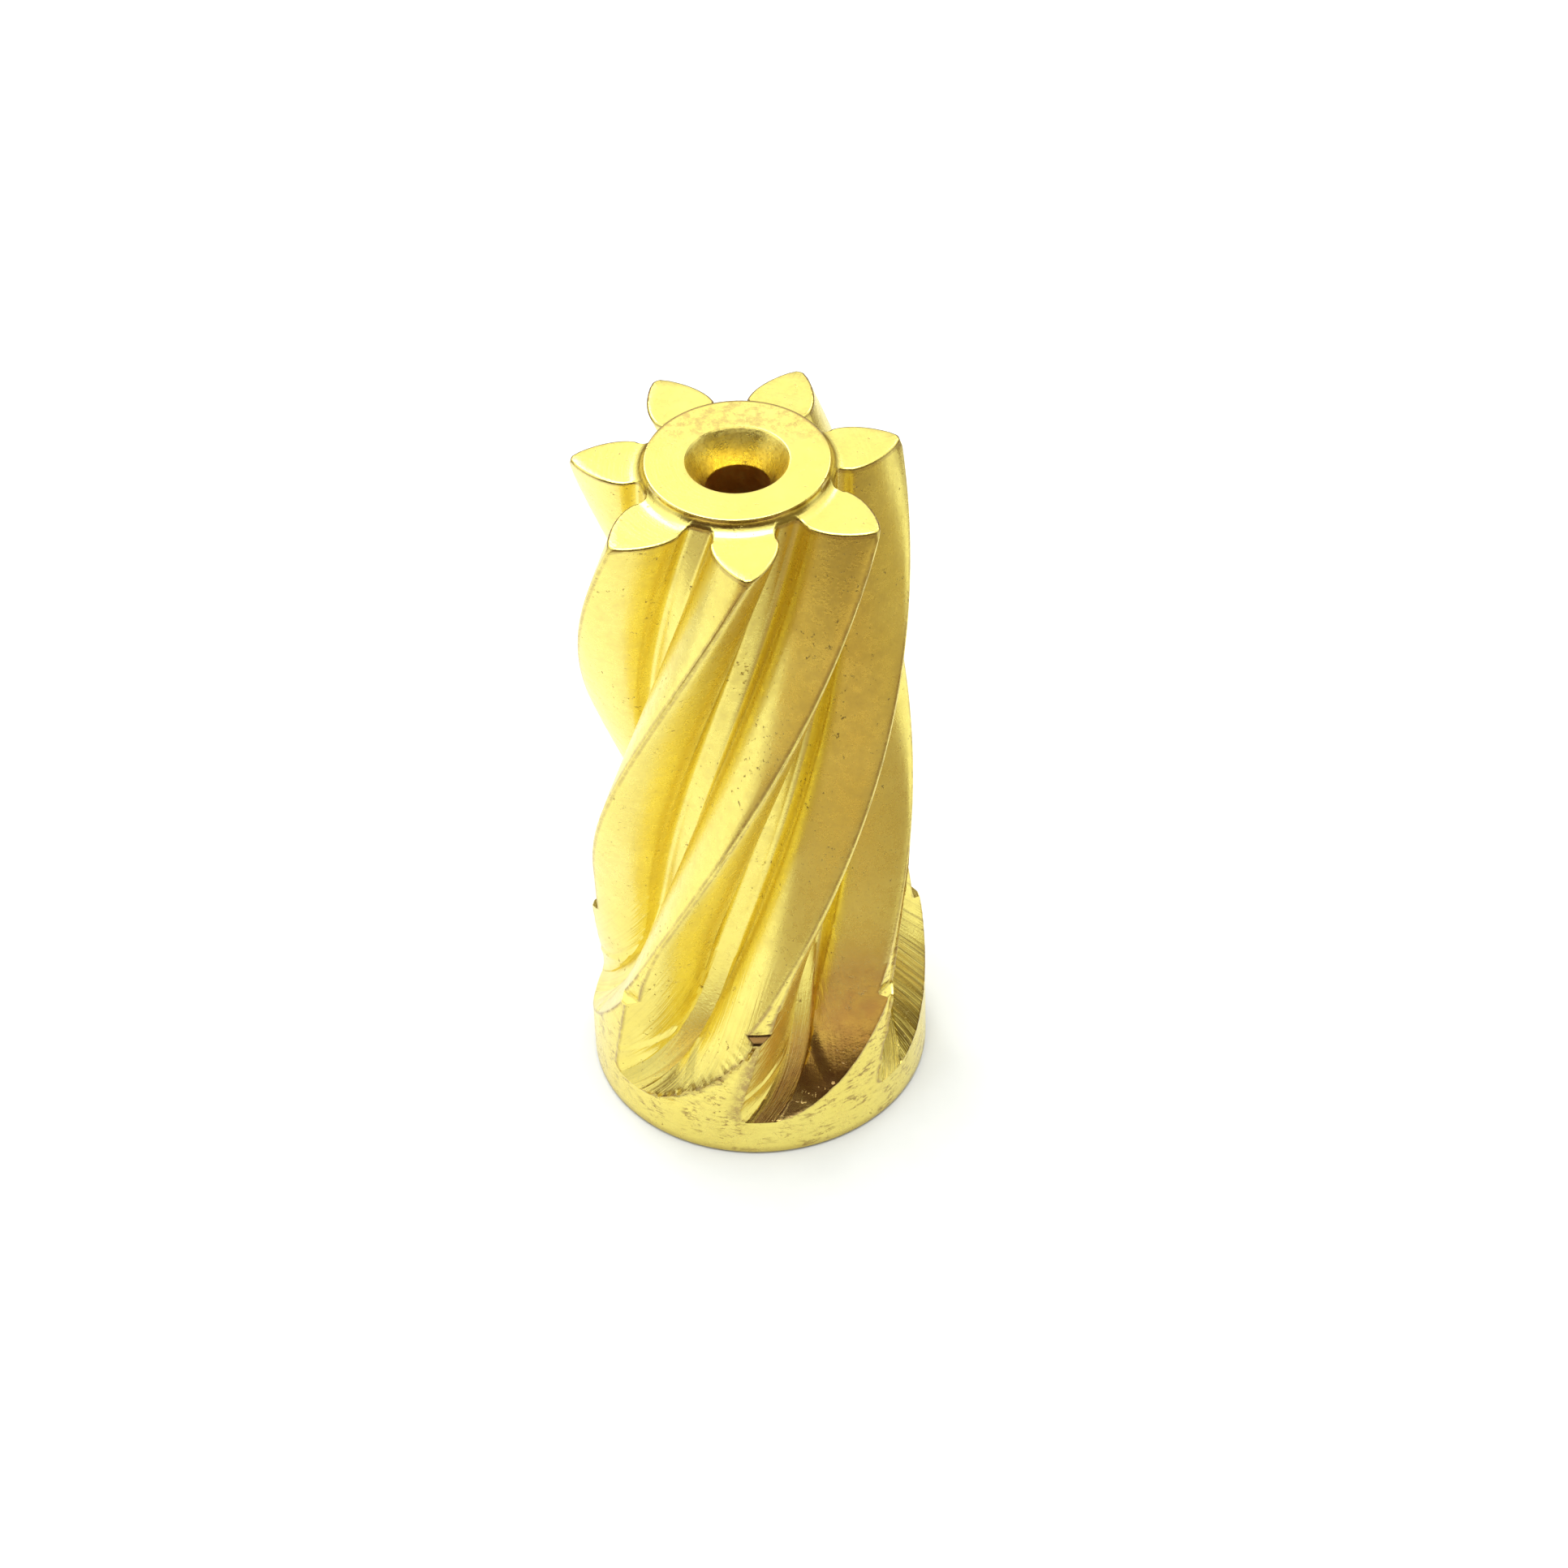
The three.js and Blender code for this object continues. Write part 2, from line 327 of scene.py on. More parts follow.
def round_tip(angles, radii, land_half, end_share):
    """Bends the corner between flank and tooth land into a small curve, wider at the end face."""
    corner = ROOT_STEPS + FLANK_STEPS
    x, y = radii * np.cos(angles), radii * np.sin(angles)
    along = np.concatenate([[0], np.cumsum(np.hypot(np.diff(x), np.diff(y)))])
    along -= along[corner]
    narrow = smooth(1 - land_half / NARROW_LAND)
    reach = LAND_BLEND + (TIP_BLEND + DEBURRING * end_share - LAND_BLEND) * narrow
    ahead = min(reach, along[-1])
    start = np.array([np.interp(-reach, along, x), np.interp(-reach, along, y)])
    end = np.array([np.interp(ahead, along, x), np.interp(ahead, along, y)])
    middle = np.array([x[corner], y[corner]])
    moved = np.flatnonzero((along > -reach) & (along < ahead))
    for i in moved:
        t = (along[i] + reach) / (reach + ahead)
        x[i], y[i] = (1 - t) ** 2 * start + 2 * t * (1 - t) * middle + t * t * end
    return np.arctan2(y, x), np.hypot(x, y)


def levels():
    """Heights of the toothed rows: fine in the run-out and at the shoulder."""
    first = TROUGH_END + 0.02
    return np.concatenate([
        COLLAR_EDGE * (1 - np.cos(np.linspace(0, math.pi / 2, 6))),
        np.linspace(COLLAR_EDGE, TROUGH_END, 9)[1:],
        first + (SHOULDER_FOOT - SHOULDER_EDGE - first) * np.linspace(0, 1, 74) ** 1.25,
        np.linspace(SHOULDER_FOOT - SHOULDER_EDGE, SHOULDER_TOP, 8)[1:],
        np.linspace(SHOULDER_TOP, HOB_STOP, 36)[1:],
        np.linspace(HOB_STOP, END_FACE - 0.4, 62)[1:],
        END_FACE - FACE_EDGE - np.array([0.2, 0.08, 0]),
    ])


def cap_height(radius):
    """Height of the end face, which rises in a hollow fillet to the boss."""
    sine = np.clip(1 - (radius - BOSS) / FILLET_REACH, 0, 1)
    return END_FACE + FILLET_HEIGHT * (1 - np.sqrt(1 - sine**2))


def round_the_gear(half, mirror_sign=1.0):
    """Repeats one half pitch round the gear: the second half runs back from tooth to space."""
    pitch = np.concatenate([half[:-1], mirror_sign * half[:0:-1]])
    return np.tile(pitch, TEETH)


def toothed_rows():
    """Radius, direction, height and distance across the space on every row, and each column's space."""
    heights = levels()
    first_pitch = np.repeat(np.arange(TEETH), 2 * HALF_STEPS) * PITCH
    far_half = np.tile(np.arange(2 * HALF_STEPS) >= HALF_STEPS, TEETH)
    space_of_column = (np.arange(COLUMNS) // HALF_STEPS + 1) // 2
    start = FRONT_TOOTH - PITCH / 2
    rows = []
    for z in heights:
        angles, radii, arcs = half_section(z)
        radius = round_the_gear(radii)
        angle = round_the_gear(angles)
        angle = first_pitch + np.where(far_half, PITCH - angle, angle)
        across = round_the_gear(arcs, -1.0)
        rise = (cap_height(radius) - END_FACE) * smooth((z - END_FACE + RISE_START) / RISE_LENGTH)
        height = np.full(COLUMNS, z) + rise
        angle = angle + start + turn_at(height) + wander_at(hob_lift(z))
        rows.append((radius, angle, height, across))
    rows = [np.array(part) for part in zip(*rows)]
    return rows + [space_of_column % TEETH]


def from_corner(across):
    """Distance along the section from the nearest corner between a flank and a tooth land.

    It is shorter than true beside the ragged edge, where the residue and painted shade reach further. Below
    the troughs it is far, and on the shoulder it is clean, except on the front tooth, whose step
    has painted dark shade all over. At the rim of the end face it is small all round.
    """
    role = np.arange(COLUMNS) % (2 * HALF_STEPS)
    role = np.minimum(role, 2 * HALF_STEPS - role)
    corner = np.flatnonzero(role == ROOT_STEPS + FLANK_STEPS)
    distance = np.abs(np.abs(across) - np.abs(across[:, corner[:1]]))
    nominal = levels()
    first = 2 * HALF_STEPS * RAGGED_SPACE + ROOT_STEPS + FLANK_STEPS
    low_rows = np.count_nonzero(nominal < SHOULDER_FOOT)
    distance[:low_rows, first : first + 2 * LAND_STEPS] *= RAGGED_DISTANCE
    distance[nominal < TROUGH_END + 0.03] = FAR_FROM_EDGE
    step = (nominal >= SHOULDER_FOOT - SHOULDER_EDGE) & (nominal < SHOULDER_TOP - 0.01)
    distance[step] = np.maximum(distance[step], CLEAN_STEP)
    # The front tooth's step gets painted dark shade all over.
    distance[step, first : first + 2 * LAND_STEPS + 1] = SHADED_STEP
    distance[-2] = np.minimum(distance[-2], 0.06)
    distance[-1] = 0.0
    return distance


def tool_lines(across, spaces):
    """A coordinate that stays constant along each tool line, and the lines' depth."""
    below = np.minimum(levels() - LINES_START, 0)[:, None]
    lean = np.array(LINE_LEAN)[spaces]
    right = across > 0
    side = np.clip(across / 0.4, -1, 1)
    depth = np.where(right, np.array(LINE_DEPTH_RIGHT)[spaces], np.array(LINE_DEPTH_LEFT)[spaces])
    fade = smooth((LINES_START - levels()) / LINES_FADE)[:, None]
    return across + lean * below * side, LINE_DEPTH_ABOVE + (depth - LINE_DEPTH_ABOVE) * fade


def painted_reflection_on_flank(across, spaces):
    """How much painted brown reflection lies on each point.

    It covers the right flank of one space's run-out, and the floor of that space lower down.
    """
    nominal = levels()[:, None]
    flank = smooth((FLANK_REFLECTION_TOP - nominal) / FLANK_REFLECTION_FADE)
    flank = flank * smooth((across - FLANK_REFLECTION_START) / REFLECTION_BORDER)
    floor = smooth((FLOOR_REFLECTION_TOP - nominal) / FLOOR_REFLECTION_FADE)
    floor = floor * smooth((across - FLOOR_REFLECTION_START) / REFLECTION_BORDER)
    return np.maximum(flank, floor) * (spaces == REFLECTION_SPACE)


def roughen_edges(radius):
    """Adds burrs along the troughs' edges and a ridge along one, and cuts scuffs and nicks."""
    random = np.random.default_rng(11)
    nominal = levels()
    corner = ROOT_STEPS + FLANK_STEPS
    in_trough = smooth((nominal - TROUGH_END) / 0.3) * smooth((SHOULDER_FOOT - nominal) / 0.3)
    on_teeth = smooth((nominal - SHOULDER_TOP) / 0.4)
    for tooth in range(TEETH):
        first = 2 * HALF_STEPS * tooth
        for side, column in ((1, first + corner), (-1, first + 2 * HALF_STEPS - corner)):
            grain = random.random(len(nominal))
            grain = np.convolve(grain, [0.25, 0.5, 0.25], "same")
            ragged = tooth == RAGGED_SPACE and side == 1
            strength = RAGGED_BURR if ragged else random.uniform(0.0, FINE_BURR)
            burr = strength * in_trough * np.clip(grain * 1.6 - 0.3, 0, None)
            radius[:, column] += burr
            radius[:, (column - side) % COLUMNS] += 0.25 * burr
            if tooth == RIDGE_TOOTH and side == -1:
                ridge = smooth((nominal - RIDGE_FOOT) / 0.5) * smooth((RIDGE_TOP - nominal) / 2.5)
                radius[:, column] += ridge * (RIDGE + 0.05 * grain)
                radius[:, column - 1] += ridge * (RIDGE + 0.03 * grain)
            if ragged:
                radius[:, column + 1] += 0.6 * burr
                scuffs = random.random((len(nominal), LAND_STEPS))
                scuffs = 0.5 * scuffs + 0.25 * (np.roll(scuffs, 1, axis=0) + np.roll(scuffs, -1, axis=0))
                radius[:, column + 1 : column + 1 + LAND_STEPS] -= SCUFF_DEPTH * scuffs * in_trough[:, None]
        crest = first + HALF_STEPS
        nicks = np.clip(random.random(len(nominal)) - 0.8, 0, None) * NICK_DEPTH * on_teeth
        for offset, share in ((-1, 0.6), (0, 1), (1, 0.6)):
            radius[:, crest + offset] -= share * nicks


def cap_rows(radius, angle):
    """Rows from the edge of the end face in to the boss: edge break, face, then fillet."""
    x, y = radius * np.cos(angle), radius * np.sin(angle)
    along_x, along_y = np.roll(x, -1) - np.roll(x, 1), np.roll(y, -1) - np.roll(y, 1)
    size = np.hypot(along_x, along_y)
    inward_x, inward_y = -along_y / size, along_x / size
    even = angle[0] + np.arange(COLUMNS) * 2 * math.pi / COLUMNS
    rows = []
    for turn in (math.pi / 6, math.pi / 3, math.pi / 2):
        inset = FACE_EDGE * (1 - math.cos(turn))
        px, py = x + inward_x * inset, y + inward_y * inset
        edge_radius = np.hypot(px, py)
        edge_angle = angle + (np.arctan2(py, px) - angle + math.pi) % (2 * math.pi) - math.pi
        top = cap_height(edge_radius) - FACE_EDGE * (1 - math.sin(turn))
        rows.append((edge_radius, edge_angle, top))
    outer, edge_angle, _ = rows[-1]
    split = np.minimum(BOSS + FILLET_REACH, 0.85 * outer + 0.15 * BOSS)
    split_sine = np.arcsin(np.clip(1 - (split - BOSS) / FILLET_REACH, 0, 1))
    inner = [outer + (split - outer) * t for t in np.linspace(0, 1, 6)[1:]]
    for t in np.linspace(0, 1, 9)[1:]:
        sine = np.sin(split_sine + (math.pi / 2 - split_sine) * t)
        inner.append(BOSS + FILLET_REACH * (1 - sine))
    for ring in inner:
        share = ((outer - ring) / (outer - BOSS)) ** 2
        rows.append((ring, edge_angle + (even - edge_angle) * share, cap_height(ring)))
    return rows, even


def turned_rows(even):
    """Rows over the boss, down the mouth and the bore, and out along the underside."""
    depth = (MOUTH - BORE) / math.tan(MOUTH_HALF_ANGLE)
    bore_top = LENGTH - depth * 1.03
    profile = []
    for turn in np.linspace(0, math.pi / 2, 4):
        profile.append((BOSS - BOSS_EDGE * (1 - math.cos(turn)), LENGTH - BOSS_EDGE * (1 - math.sin(turn))))
    profile += [(BOSS - BOSS_EDGE - 0.02, LENGTH), (2.5, LENGTH), (2.1, LENGTH), (MOUTH + 0.1, LENGTH)]
    profile += [
        (MOUTH + MOUTH_EDGE, LENGTH),
        (MOUTH + 0.3 * MOUTH_EDGE, LENGTH - 0.15 * MOUTH_EDGE),
        (MOUTH - 0.3 * MOUTH_EDGE, LENGTH - 0.8 * MOUTH_EDGE),
    ]
    for t in (0.06, 0.2, 0.35, 0.5, 0.65, 0.8, 0.9, 0.97, 1.0):
        hollow = MOUTH_HOLLOW * math.sin(math.pi * t)
        profile.append((MOUTH + (BORE - MOUTH) * t - hollow, LENGTH - depth * t))
    for t in np.linspace(0, 1, 7):
        profile.append((BORE, bore_top + (BORE_EDGE + 0.02 - bore_top) * t))
    profile += [(BORE + 0.02, BORE_EDGE - 0.02), (BORE + BORE_EDGE - 0.02, 0.02)]
    profile += [(BORE + BORE_EDGE + 0.02, 0)]
    profile += [(2.2, 0), (3.6, 0), (4.9, 0)]
    return [(np.full(COLUMNS, r), even, np.full(COLUMNS, z)) for r, z in profile]


def finish_of_faces(row_count, hobbed_count):
    """Material numbers of the faces, row by row."""
    finish = np.full((row_count, COLUMNS), FACED)
    finish[:hobbed_count] = HOBBED
    nominal = levels()
    finish[: np.count_nonzero(nominal < TROUGH_END)] = TURNED
    role = np.arange(COLUMNS) % (2 * HALF_STEPS)
    role = np.minimum(role, 2 * HALF_STEPS - 1 - role)
    land = np.flatnonzero(role >= ROOT_STEPS + FLANK_STEPS)
    finish[np.ix_(np.flatnonzero(nominal < SHOULDER_TOP + LAND_LENGTH), land)] = TURNED
    under_start = row_count - UNDER_ROWS
    bore_start = under_start - BORE_ROWS
    finish[bore_start - MOUTH_ROWS : bore_start] = MOUTHED
    finish[bore_start:under_start] = BORED
    finish[under_start:] = TURNED
    return finish


def edge_values(points, across, hobbed_count, cap_count):
    """The edge attribute of the whole grid: near the corners that gather dirt and painted shade it is
    small.
    """
    edge = np.full((len(points), COLUMNS), FAR_FROM_EDGE)
    edge[:hobbed_count] = from_corner(across)
    # The rim of the end face, most at the back, and the foot of the boss get a dark line of painted shade.
    edge[hobbed_count] = 0.03
    faces_back = np.roll(points[hobbed_count, :, 0], -1) < np.roll(points[hobbed_count, :, 0], 1)
    edge[hobbed_count + 1] = np.where(faces_back, 0.0, FAR_FROM_EDGE)
    edge[hobbed_count + 2] = np.where(faces_back, 0.05, FAR_FROM_EDGE)
    boss_foot = hobbed_count + cap_count - 1
    edge[boss_foot - 1 : boss_foot + 2] = np.array([0.04, 0.0, 0.03])[:, None]
    edge[len(points) - UNDER_ROWS - BORE_ROWS - MOUTH_ROWS] = 0.03
    return edge


def pinion_mesh():
    """The whole skin as one closed grid: up the teeth, over the boss, down the bore, and out."""
    radius, angle, height, across, spaces = toothed_rows()
    hobbed_count = len(radius)
    roughen_edges(radius)
    lines, line_depth = tool_lines(across, spaces)
    cap, even = cap_rows(radius[-1], angle[-1])
    turned = turned_rows(even)
    foot_angle = angle[0] + 2 * math.pi * round((even[0] - angle[0][0]) / (2 * math.pi))
    for i, share in ((-3, 0.25), (-2, 0.55), (-1, 0.85)):
        r, _, z = turned[i]
        turned[i] = (r, even + (foot_angle - even) * share, z)
    rings = [(radius[i], angle[i], height[i]) for i in range(hobbed_count)] + cap + turned
    radius, angle, height = (np.array(part) for part in zip(*rings))
    points = np.stack([radius * np.cos(angle), radius * np.sin(angle), height], axis=-1) * MM
    row_count = len(points)
    index = np.arange(row_count * COLUMNS).reshape(row_count, COLUMNS)
    right, up = np.roll(index, -1, axis=1), np.roll(index, -1, axis=0)
    quads = np.stack([index, right, np.roll(up, -1, axis=1), up], axis=-1).reshape(-1, 4)
    mesh = bpy.data.meshes.new("pinion_body")
    mesh.from_pydata(points.reshape(-1, 3).tolist(), [], quads.tolist())
    attributes = {"edge": edge_values(points, across, hobbed_count, len(cap))}
    on_teeth = {"lines": lines + 10.0 * spaces, "depth": line_depth, "painted_reflection": painted_reflection_on_flank(across, spaces)}
    for name, values in on_teeth.items():
        attributes[name] = np.zeros((row_count, COLUMNS))
        attributes[name][:hobbed_count] = values
    for name, values in attributes.items():
        attribute = mesh.attributes.new(name, "FLOAT", "POINT")
        attribute.data.foreach_set("value", values.astype(np.float32).ravel())
    finish = finish_of_faces(row_count, hobbed_count)
    mesh.polygons.foreach_set("material_index", finish.astype(np.int32).ravel())
    mesh.shade_smooth()
    mesh.set_sharp_from_angle(angle=math.radians(32))
    mesh.update()
    return mesh


# --- materials -------------------------------------------------------------------------


def add(tree, kind, inputs=None, **settings):
    """Adds a node, sets its properties, and sets or links its inputs."""
    made = tree.nodes.new(kind)
    for name, value in settings.items():
        setattr(made, name, value)
    for name, value in (inputs or {}).items():
        socket = made.inputs[name]
        if isinstance(value, bpy.types.NodeSocket):
            tree.links.new(value, socket)
        else:
            socket.default_value = value
    return made


def maths(tree, operation, a, b=0.0):
    return add(tree, "ShaderNodeMath", {0: a, 1: b}, operation=operation).outputs[0]


def ramp(tree, value, start, end, low_value=0.0, high_value=1.0):
    """Eases from low_value to high_value while value goes from start to end."""
    made = add(tree, "ShaderNodeMapRange", {
        "Value": value, "From Min": start, "From Max": end, "To Min": low_value, "To Max": high_value,
    }, interpolation_type="SMOOTHSTEP")
    return made.outputs["Result"]


def blend(tree, share, a, b):
    """Mixes colour b over colour a."""
    made = add(tree, "ShaderNodeMix", {"Factor": share}, data_type="RGBA")
    for name, value in (("A_Color", a), ("B_Color", b)):
        socket = next(s for s in made.inputs if s.identifier == name)
        if isinstance(value, bpy.types.NodeSocket):
            tree.links.new(value, socket)
        else:
            socket.default_value = value
    return next(s for s in made.outputs if s.identifier == "Result_Color")


def noise(tree, vector, scale, detail=3.0, roughness=0.5):
    made = add(tree, "ShaderNodeTexNoise", {
        "Vector": vector, "Scale": scale, "Detail": detail, "Roughness": roughness,
    })
    return made.outputs["Fac"]


def brass(name, roughness, marks, light=BRASS_LIGHT, deep=BRASS_DEEP):
    """Satin brass with grain, pits and stains, and the tool marks, residue and painted shade that
    marks(tree, ...) returns.
    """
    material = bpy.data.materials.new(name)
    material.use_nodes = True
    tree = material.node_tree
    tree.nodes.clear()
    place = add(tree, "ShaderNodeTexCoord").outputs["Object"]
    mm = add(tree, "ShaderNodeVectorMath", {0: place, "Scale": 1000.0}, operation="SCALE").outputs[0]
    axes = add(tree, "ShaderNodeSeparateXYZ", {0: mm})
    cloud = noise(tree, mm, 0.55, 4.0, 0.55)
    mottle = noise(tree, mm, 2.6, 5.0, 0.65)
    grain = noise(tree, mm, 11.0, 3.0, 0.65)
    patch = noise(tree, mm, 0.8, 2.0, 0.5)
    speck = noise(tree, mm, 5.5, 3.0, 0.75)
    specks = ramp(tree, maths(tree, "ADD", speck, ramp(tree, patch, 0.35, 0.65, -0.05, 0.05)), 0.66, 0.73)
    colour = blend(tree, ramp(tree, cloud, 0.35, 0.7), deep, light)
    colour = blend(tree, ramp(tree, mottle, 0.46, 0.72, 0, 0.26), colour, TARNISH)
    colour = blend(tree, ramp(tree, grain, 0.50, 0.70, 0, 0.16), colour, GRAIN_SHADE)
    colour = blend(tree, maths(tree, "MULTIPLY", specks, 0.75), colour, SPECK)
    rough = maths(tree, "ADD", ramp(tree, mottle, 0.3, 0.75, 0, 0.08), roughness)
    rough = maths(tree, "ADD", rough, maths(tree, "MULTIPLY", specks, 0.25))
    rough = maths(tree, "ADD", rough, ramp(tree, axes.outputs["Z"], 8.5, 4.5, 0.0, FRESH_CUT))
    lines, line_height, colour = marks(tree, axes, mm, colour)
    relief = maths(tree, "MULTIPLY", grain, 0.005)
    relief = maths(tree, "SUBTRACT", relief, maths(tree, "MULTIPLY", specks, 0.004))
    relief = maths(tree, "ADD", relief, maths(tree, "MULTIPLY", lines, line_height))
    bump = add(tree, "ShaderNodeBump", {"Height": relief, "Strength": 1.0, "Distance": MM})
    shader = add(tree, "ShaderNodeBsdfPrincipled", {
        "Base Color": colour, "Metallic": 1.0, "Roughness": rough, "Normal": bump.outputs[0],
    })
    output = add(tree, "ShaderNodeOutputMaterial")
    tree.links.new(shader.outputs[0], output.inputs["Surface"])
    return material


def distance_from_axis(tree, axes):
    x, y, _ = axes.outputs
    square = maths(tree, "ADD", maths(tree, "MULTIPLY", x, x), maths(tree, "MULTIPLY", y, y))
    return maths(tree, "SQRT", square)


def edge_dirt_and_shade(tree, mm, colour, reach, share):
    """Brown residue, partly painted shade along the edges, where the edge attribute is small, and painted
    dark shade where it is below zero.
    """
    edge = add(tree, "ShaderNodeAttribute", attribute_name="edge").outputs["Fac"]
    patches = noise(tree, mm, 3.5, 5.0, 0.75)
    near = ramp(tree, edge, reach, 0.02)
    dirt = maths(tree, "MULTIPLY", near, ramp(tree, patches, 0.36, 0.56, 0.30, 1.0))
    colour = blend(tree, maths(tree, "MULTIPLY", dirt, share), colour, RESIDUE_AND_SHADE)
    return blend(tree, ramp(tree, edge, -0.1, -0.9), colour, STEP_PAINTED_SHADE)


def hob_marks(tree, axes, mm, colour):
    """Long lines that the hob leaves, deeper where it runs out, the painted brown reflection in one space,
    and residue with painted shade along the edges.
    """
    line = add(tree, "ShaderNodeAttribute", attribute_name="lines").outputs["Fac"]
    depth = add(tree, "ShaderNodeAttribute", attribute_name="depth").outputs["Fac"]
    z = axes.outputs["Z"]
    coarse_place = add(tree, "ShaderNodeCombineXYZ", {
        0: maths(tree, "MULTIPLY", line, 6.0), 1: maths(tree, "MULTIPLY", z, 0.22), 2: 4.0,
    })
    fine_place = add(tree, "ShaderNodeCombineXYZ", {
        0: maths(tree, "MULTIPLY", line, 20.0), 1: maths(tree, "MULTIPLY", z, 0.4), 2: 9.0,
    })
    coarse = noise(tree, coarse_place.outputs[0], 1.0, 2.0, 0.6)
    fine = noise(tree, fine_place.outputs[0], 1.0, 2.0, 0.6)
    lines = maths(tree, "ADD", coarse, maths(tree, "MULTIPLY", fine, 0.35))
    height = maths(tree, "MULTIPLY", depth, 0.045)
    shade = maths(tree, "MULTIPLY", ramp(tree, coarse, 0.48, 0.66), ramp(tree, depth, 0.1, 1.0, 0, 0.55))
    colour = blend(tree, shade, colour, LINE_SHADE)
    # Painted brown reflection over one space's run-out.
    painted_reflection = add(tree, "ShaderNodeAttribute", attribute_name="painted_reflection").outputs["Fac"]
    painted_reflection = maths(tree, "MULTIPLY", painted_reflection, ramp(tree, noise(tree, mm, 1.4, 4.0, 0.6), 0.3, 0.7, 0.5, 0.85))
    colour = blend(tree, painted_reflection, colour, BROWN_REFLECTION)
    return lines, height, edge_dirt_and_shade(tree, mm, colour, 0.11, 0.55)


def facing_marks(tree, axes, mm, colour):
    """Fine circles on the end face and the boss, painted shade round the back of the boss's rim and in its
    corner, and scuffs behind.
    """
    out = distance_from_axis(tree, axes)
    place = add(tree, "ShaderNodeCombineXYZ", {
        0: maths(tree, "MULTIPLY", out, 7.0), 1: maths(tree, "MULTIPLY", axes.outputs["Z"], 7.0), 2: 1.0,
    })
    behind = ramp(tree, axes.outputs["Y"], 0.2, 1.8)
    # Painted shade: a brown ring round the back of the boss's rim.
    rim = maths(tree, "MULTIPLY", ramp(tree, out, BOSS - 0.14, BOSS - 0.05), behind)
    rim = maths(tree, "MULTIPLY", rim, ramp(tree, out, BOSS + 0.05, BOSS + 0.02))
    colour = blend(tree, maths(tree, "MULTIPLY", rim, 0.9), colour, (0.28, 0.18, 0.06, 1))
    scuff = ramp(tree, noise(tree, mm, 2.4, 5.0, 0.75), 0.44, 0.60, 0, 0.6)
    scuff = maths(tree, "MULTIPLY", scuff, ramp(tree, out, BOSS + 0.1, BOSS - 0.1, 0.25, 1.0))
    colour = blend(tree, maths(tree, "MULTIPLY", behind, scuff), colour, (0.52, 0.36, 0.12, 1))
    rings = noise(tree, place.outputs[0], 1.0, 2.0, 0.6)
    return rings, 0.006, edge_dirt_and_shade(tree, mm, colour, 0.10, 0.95)


def mouth_marks(tree, axes, mm, colour):
    """Patchy olive and dark painted reflection on the cone of the mouth, which is slightly uneven."""
    patches = noise(tree, mm, 5.5, 5.0, 0.75)
    # Painted reflection: olive and dark patches on the cone.
    colour = blend(tree, ramp(tree, patches, 0.40, 0.60, 0.15, 0.55), colour, (0.58, 0.42, 0.07, 1))
    dark = ramp(tree, noise(tree, mm, 9.0, 4.0, 0.7), 0.52, 0.66, 0, 0.45)
    colour = blend(tree, dark, colour, (0.36, 0.25, 0.06, 1))
    return patches, 0.011, edge_dirt_and_shade(tree, mm, colour, 0.10, 0.95)


def boring_marks(tree, axes, mm, colour):
    """Rings down the bore."""
    rings = maths(tree, "MULTIPLY", axes.outputs["Z"], 6.0)
    place = add(tree, "ShaderNodeCombineXYZ", {0: rings, 1: 0.0, 2: 2.0})
    return noise(tree, place.outputs[0], 1.0, 2.0, 0.6), 0.01, colour


def turning_marks(tree, axes, mm, colour):
    """Fine rings round the collar, with dark smudges on it, a painted reflection of the contact shadow low
    on it, and residue and painted shade at its edges.
    """
    z = axes.outputs["Z"]
    stretched = add(tree, "ShaderNodeVectorMath", {0: mm, 1: (0.35, 0.35, 9.0)}, operation="MULTIPLY")
    rings = noise(tree, stretched.outputs[0], 1.0, 3.0, 0.6)
    smear = add(tree, "ShaderNodeVectorMath", {0: mm, 1: (2.2, 2.2, 6.5)}, operation="MULTIPLY")
    smudge = ramp(tree, noise(tree, smear.outputs[0], 1.0, 5.0, 0.8), 0.50, 0.60)
    patches = ramp(tree, noise(tree, mm, 0.95, 3.0, 0.6), 0.44, 0.60, 0.12, 0.9)
    smudge = maths(tree, "MULTIPLY", smudge, patches)
    colour = blend(tree, smudge, colour, (0.33, 0.21, 0.07, 1))
    # Painted reflection of the contact shadow: darker brown along the collar's foot.
    colour = blend(tree, ramp(tree, z, 0.42, 0.06, 0, 0.6), colour, (0.40, 0.28, 0.07, 1))
    return rings, 0.004, edge_dirt_and_shade(tree, mm, colour, 0.16, 0.9)


def make_pinion():
    """The finished pinion, which stands in for the CAD's."""
    body = bpy.data.objects.new("pinion_body", pinion_mesh())
    bpy.context.scene.collection.objects.link(body)
    for material in (
        brass("brass_hobbed", 0.25, hob_marks),
        brass("brass_faced", 0.19, facing_marks),
        brass("brass_turned", 0.30, turning_marks),
        # The bore's brown colours are painted shade.
        brass("brass_bored_painted_shade", 0.38, boring_marks, BORE_SHADE_LIGHT, BORE_SHADE_DEEP),
        brass("brass_mouth", 0.25, mouth_marks),
    ):
        body.data.materials.append(material)
    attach(body, "root")
    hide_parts(PINION)
    return body


# --- studio ----------------------------------------------------------------------------


